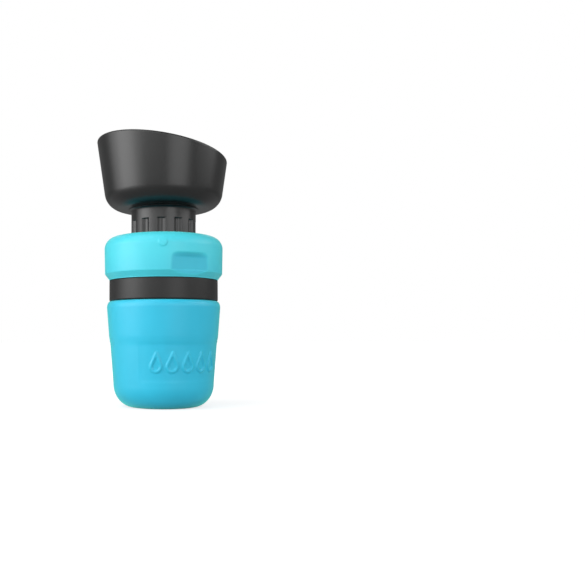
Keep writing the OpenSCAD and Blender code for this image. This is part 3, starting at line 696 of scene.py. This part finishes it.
class BOTTLE_OT_collar(bpy.types.Operator):
    """Soft-touch collar with its finger pockets and index mark"""

    bl_idname = "travel_bottle.collar"
    bl_label = "Collar"

    def execute(self, context):
        sizes = context.scene.travel_bottle_sizes
        colours = context.scene.travel_bottle_colours
        round_r = 8.4
        crown = 0.6
        draft = 0.4
        lip_h = 4.2
        lip_r = RING_R + SEAT_GAP
        lip_edge = 0.4
        wall = 2.2
        hole_r = sizes.neck_r + 0.4
        round_z = COLLAR_TOP - crown - round_r
        round_c = (COLLAR_R - round_r, round_z)
        pan_r = 37.2
        pocket_margin = 1.4
        pocket_corner = 5.0
        pocket_ease = 1.6
        floor_ease = 0.7
        brow_ease = 4.6
        chamfer_reach = 2.6
        foot_z = COLLAR_Z + lip_h
        foot_r = COLLAR_R - draft
        outside = (
            rounded([(pan_r, COLLAR_Z, 0), (lip_r, COLLAR_Z, 0.15), (lip_r, COLLAR_Z + lip_edge, 0.25),
                     (foot_r, foot_z, 1.1), (COLLAR_R, round_z, 0)], 6)
            + ellipse_arc(round_c, round_r, round_r, 1, 90, 24)
            + rounded([(COLLAR_R - round_r - 2, COLLAR_TOP - crown + 0.1, 0), (hole_r, COLLAR_TOP, 0.7),
                       (hole_r, COLLAR_TOP - wall, 0.3), (COLLAR_R - round_r, round_z + round_r - wall, 0)],
                      5))
        outside = refine(outside, COLLAR_Z + 0.6, COLLAR_Z + sizes.index_z + 4, 0.4, 36)
        inside = (
            ellipse_arc(round_c, round_r - wall, round_r - wall, 90, 0, 8)
            + [Vector((foot_r - wall, foot_z)), Vector((pan_r, COLLAR_Z + lip_h / 2))])
        pocket_h = sizes.pocket_top - sizes.pocket_foot
        pocket_mid = COLLAR_Z + sizes.pocket_foot + pocket_h / 2
        low_y = lip_r + 0.8
        lean = (COLLAR_R - sizes.pocket_depth + 0.5 - low_y) / pocket_h

        def skin(height):
            """Radius of the plain skin at a height above the collar's lower edge."""
            chamfer_r = lip_r + (foot_r - lip_r) * max(0, height - lip_edge) / (lip_h - lip_edge)
            return min(COLLAR_R, chamfer_r)

        def reshape(co):
            """The skin's point moved in to a pocket's leaning floor, or out for the index mark."""
            r, angle = polar(co)
            z = co.z
            if r < pan_r + 0.4 or z > COLLAR_TOP - 2:
                return co
            side = -90 if abs(turn_between(angle, -90)) < 90 else 90
            offset = math.radians(turn_between(angle, side))
            u = r * math.sin(offset)
            v = z - pocket_mid
            outer = r > COLLAR_R - wall * 0.6 - chamfer_reach * (z < foot_z)
            # The rectangle runs on below the collar, so only its top corners are rounded.
            half_w = sizes.pocket_w / 2 + pocket_margin
            edge = box_distance(u, v + pocket_h, half_w, pocket_h * 1.5, pocket_corner)
            if edge < 0:
                floor_r = (low_y + lean * (v + pocket_h / 2)) / math.cos(offset)
                skin_r = skin(z - COLLAR_Z) if outer else COLLAR_R
                depth = blend_depth(skin_r - floor_r, floor_ease) * smooth_step(-edge / pocket_ease)
                depth *= smooth_step((pocket_h / 2 - v) / brow_ease + 0.06)
                r = r - depth if outer else max(pan_r, r - depth)
            if outer:
                r += self.index_rise(angle, z, sizes)
            return with_radius(co, r)

        piece = revolve("collar_skin", outside + inside, 512, closed=True, reshape=reshape)
        # Painted shade in the pockets: full from a depth on, and fading out below their top.
        full_shade_depth = 0.9
        shade_fade = 3.2
        painted_pocket_shade = piece.data.attributes.new("painted_pocket_shade", "FLOAT", "POINT")
        for vert, mark in zip(piece.data.vertices, painted_pocket_shade.data):
            height = vert.co.z / MM - COLLAR_Z
            depth = skin(height) - polar(vert.co)[0] / MM
            below_top = smooth_step((sizes.pocket_top - height) / shade_fade)
            mark.value = smooth_step(depth / full_shade_depth) * below_top
        place_piece(piece, "collar", soft_touch_elastomer(colours), "blue_soft_touch", "collar_shell")
        return {"FINISHED"}

    def index_rise(self, angle, z, sizes):
        """Rise of the half-round index mark at a place on the collar."""
        rise = 0.5
        flank = 0.7
        fade_h = 2.5
        u = math.radians(turn_between(angle, sizes.index_angle)) * COLLAR_R
        v = z - COLLAR_Z - sizes.index_z
        distance = math.hypot(u, v) if v < 0 else abs(u) + v * 0.15
        fade = 1 - smooth_step((v - 0.5) / fade_h)
        return rise * smooth_step((sizes.index_w / 2 - distance) / flank + 0.5) * fade


class BOTTLE_OT_neck(bpy.types.Operator):
    """Fluted neck between the collar and the bowl"""

    bl_idname = "travel_bottle.neck"
    bl_label = "Fluted neck"

    def execute(self, context):
        sizes = context.scene.travel_bottle_sizes
        colours = context.scene.travel_bottle_colours
        bore_r = sizes.neck_r - 2.9
        passage_r = 8.0
        outlet_r = 12.6
        deck_z = BOWL_Z - 7.3
        flute_top = COLLAR_TOP + sizes.flute_h
        flute_foot = COLLAR_TOP - 4
        flute_r = 3.4
        flute_mid = sizes.neck_r - sizes.flute_depth + flute_r
        top = BOWL_Z - SEAT_GAP
        flare_top = top - 0.3
        flare = ellipse_arc((sizes.neck_r + sizes.flare_w, flare_top - sizes.flare_h), sizes.flare_w,
                            sizes.flare_h, 180, 90, 10)
        # Close points round the flutes' top give them flat ends with a crisp edge.
        path = rounded(
            [(bore_r, NECK_Z, 0.3), (sizes.neck_r, NECK_Z, 0.5), (sizes.neck_r, flute_foot, 0),
             (sizes.neck_r, flute_top - 0.35, 0), (sizes.neck_r, flute_top - 0.06, 0),
             (sizes.neck_r, flute_top, 0), (sizes.neck_r, flute_top + 0.3, 0),
             *((p.x, p.y, 0) for p in flare), (FLANGE_R, top, 0.1), (outlet_r, top, 0.3),
             (outlet_r, OUTLET_TOP, 0.4), (passage_r, OUTLET_TOP, 0.4), (passage_r, deck_z, 0.4),
             (bore_r, deck_z, 0.4)], 6, closed=True)
        path = refine(path, flute_foot, flute_top - 0.5, 1.6, sizes.neck_r - 0.5)

        def reshape(co):
            """The outer wall's point moved in to a flute's floor, up to the flutes' flat ends."""
            if polar(co)[0] < sizes.neck_r - 0.6 or not flute_foot <= co.z < flute_top - 0.03:
                return co
            return scooped(co, sizes.flute_count, flute_mid, flute_r)

        piece = revolve("fluted_neck", path, 40 * sizes.flute_count, closed=True, reshape=reshape)
        place_piece(piece, "bowl_head", satin_abs_bowl(colours), "dark_satin", "neck_cap")
        return {"FINISHED"}


class BOTTLE_OT_dish(bpy.types.Operator):
    """Drinking bowl with its tilted, rounded rim"""

    bl_idname = "travel_bottle.dish"
    bl_label = "Drinking bowl"

    def execute(self, context):
        sizes = context.scene.travel_bottle_sizes
        colours = context.scene.travel_bottle_colours
        floor_t = 2.6
        hole_r = 12.8
        taper = math.tan(math.radians(sizes.bowl_draft))
        tilt = math.tan(math.radians(sizes.rim_tilt))
        wall = sizes.bowl_wall / math.cos(math.radians(sizes.bowl_draft))
        centre = (sizes.bowl_flat_r, BOWL_Z + sizes.bowl_round)
        lean = math.radians(sizes.bowl_draft)
        base_r = centre[0] + sizes.bowl_round * math.cos(lean)
        base_z = centre[1] - sizes.bowl_round * math.sin(lean)
        top_z = BOWL_Z + sizes.rim_h
        top_r = base_r + (top_z - base_z) * taper
        band = 2.0
        path = (
            rounded([(hole_r, BOWL_Z + floor_t, 0.2), (hole_r, BOWL_Z, 0.2),
                     (sizes.bowl_flat_r - 3, BOWL_Z, 0)], 3, hold=0.3)[:-1]
            + ellipse_arc(centre, sizes.bowl_round, sizes.bowl_round, -90, -sizes.bowl_draft, 20)
            + rounded([(base_r, base_z, 0), (top_r, top_z, sizes.bowl_wall * 0.46),
                       (top_r - wall, top_z, sizes.bowl_wall * 0.46),
                       (base_r - wall, base_z, 0)], 7)[1:-1]
            + ellipse_arc(centre, sizes.bowl_round - sizes.bowl_wall, sizes.bowl_round - floor_t,
                          -sizes.bowl_draft, -90, 16))
        path = refine(path, base_z, top_z - band, 4.0, base_r - wall)

        def reshape(co):
            """The wall's point moved along the wall, so that the level rim ends up tilted."""
            r, angle = polar(co)
            if co.z <= base_z + 1:
                return co
            cosine = math.cos(math.radians(angle - sizes.rim_angle))
            # The rim's height follows from its radius and the radius from the height: 4 rounds settle it.
            rim = top_z
            for _ in range(4):
                rim = top_z - tilt * cosine * (top_r + (rim - top_z) * taper)
            if co.z > top_z - band:
                z = co.z - top_z + rim
            else:
                share = (co.z - base_z - 1) / (top_z - band - base_z - 1)
                z = base_z + 1 + share * (rim - band - base_z - 1)
            moved = with_radius(co, r + (z - co.z) * taper)
            moved.z = z
            return moved

        piece = revolve("drinking_bowl", path, 384, closed=True, reshape=reshape)
        place_piece(piece, "bowl_head", satin_abs_bowl(colours), "bowl_dark", "bowl")
        return {"FINISHED"}


class BOTTLE_OT_outlet(bpy.types.Operator):
    """Notched nut and strainer at the bottom of the bowl"""

    bl_idname = "travel_bottle.outlet"
    bl_label = "Bowl nut and strainer"

    def execute(self, context):
        colours = context.scene.travel_bottle_colours
        material = satin_abs_ring(colours)
        bore_r = 12.8
        cup_r = 15.2
        cup_z = OUTLET_TOP + 2 * SEAT_GAP
        notch_r = 3.0
        notch_count = 8
        notch_mid = NUT_R + notch_r - 1.5
        notch_z = NUT_Z + 1.2
        path = rounded(
            [(bore_r, NUT_Z, 0.2), (NUT_R, NUT_Z, 0.3), (NUT_R, NUT_TOP, 1.5), (cup_r, NUT_TOP, 0.4),
             (cup_r, cup_z, 0.2), (bore_r, cup_z, 0.2)], 7, closed=True)
        path = refine(path + [path[0]], notch_z - 0.5, NUT_TOP, 0.35, cup_r + 1)[:-1]

        def reshape(co):
            """The nut's point moved in to a key notch's floor."""
            if polar(co)[0] < cup_r + 0.5 or co.z < notch_z:
                return co
            return scooped(co, notch_count, notch_mid, notch_r)

        nut = revolve("bowl_clamp_nut", path, 384, closed=True, reshape=reshape)
        place_piece(nut, "bowl_head", material, "dark_satin", "bowl_nut")
        grille = smooth_copy("outlet_strainer", "strainer")
        place_piece(grille, "bowl_head", material, "dark_satin", "strainer")
        return {"FINISHED"}


class BOTTLE_OT_inner_parts(bpy.types.Operator):
    """Finishes of the lid, valve, seals and screws inside"""

    bl_idname = "travel_bottle.inner_parts"
    bl_label = "Inner parts"

    def execute(self, context):
        colours = context.scene.travel_bottle_colours
        plastic = satin_abs_ring(colours)
        rubber = seal_rubber(colours)
        natural = natural_polypropylene(colours)
        steel = turned_stainless(colours)
        finishes = {
            plastic: ("clamp_sleeve", "inner_lid", "port_plate", "collar_nut"),
            rubber: ("lid_gasket", "valve_seat", "rotor_seal", "bowl_gasket"),
            natural: ("dip_tube", "slip_washer", "valve_rotor"),
            steel: ("plate_screws", "snap_ring"),
        }
        for material, nodes in finishes.items():
            for node in nodes:
                dress(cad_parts[node], material)
        return {"FINISHED"}


class BOTTLE_PT_panel(bpy.types.Panel):
    """Sidebar panel with the bottle's pieces, sizes and colours"""

    bl_idname = "BOTTLE_PT_panel"
    bl_label = "Travel Bottle"
    bl_space_type = "VIEW_3D"
    bl_region_type = "UI"
    bl_category = "Travel Bottle"

    def draw(self, context):
        for operator in OPERATORS:
            self.layout.operator(operator.bl_idname)
        for group in (context.scene.travel_bottle_sizes, context.scene.travel_bottle_colours):
            column = self.layout.column(align=True)
            for name in group.__annotations__:
                column.prop(group, name)


OPERATORS = (BOTTLE_OT_stage, BOTTLE_OT_soft_body, BOTTLE_OT_hard_ring, BOTTLE_OT_collar,
             BOTTLE_OT_neck, BOTTLE_OT_dish, BOTTLE_OT_outlet, BOTTLE_OT_inner_parts)
CLASSES = (BottleSizes, BottleColours, *OPERATORS, BOTTLE_PT_panel)


def register():
    """Adds the classes and the scene's two groups of settings."""
    for cls in CLASSES:
        bpy.utils.register_class(cls)
    bpy.types.Scene.travel_bottle_sizes = PointerProperty(type=BottleSizes)
    bpy.types.Scene.travel_bottle_colours = PointerProperty(type=BottleColours)


def unregister():
    """Takes the settings and the classes out again."""
    del bpy.types.Scene.travel_bottle_colours
    del bpy.types.Scene.travel_bottle_sizes
    for cls in reversed(CLASSES):
        bpy.utils.unregister_class(cls)


def main():
    """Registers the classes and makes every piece."""
    register()
    bpy.ops.travel_bottle.stage()
    bpy.ops.travel_bottle.soft_body()
    bpy.ops.travel_bottle.hard_ring()
    bpy.ops.travel_bottle.collar()
    bpy.ops.travel_bottle.neck()
    bpy.ops.travel_bottle.dish()
    bpy.ops.travel_bottle.outlet()
    bpy.ops.travel_bottle.inner_parts()


if __name__ == "__main__":
    main()
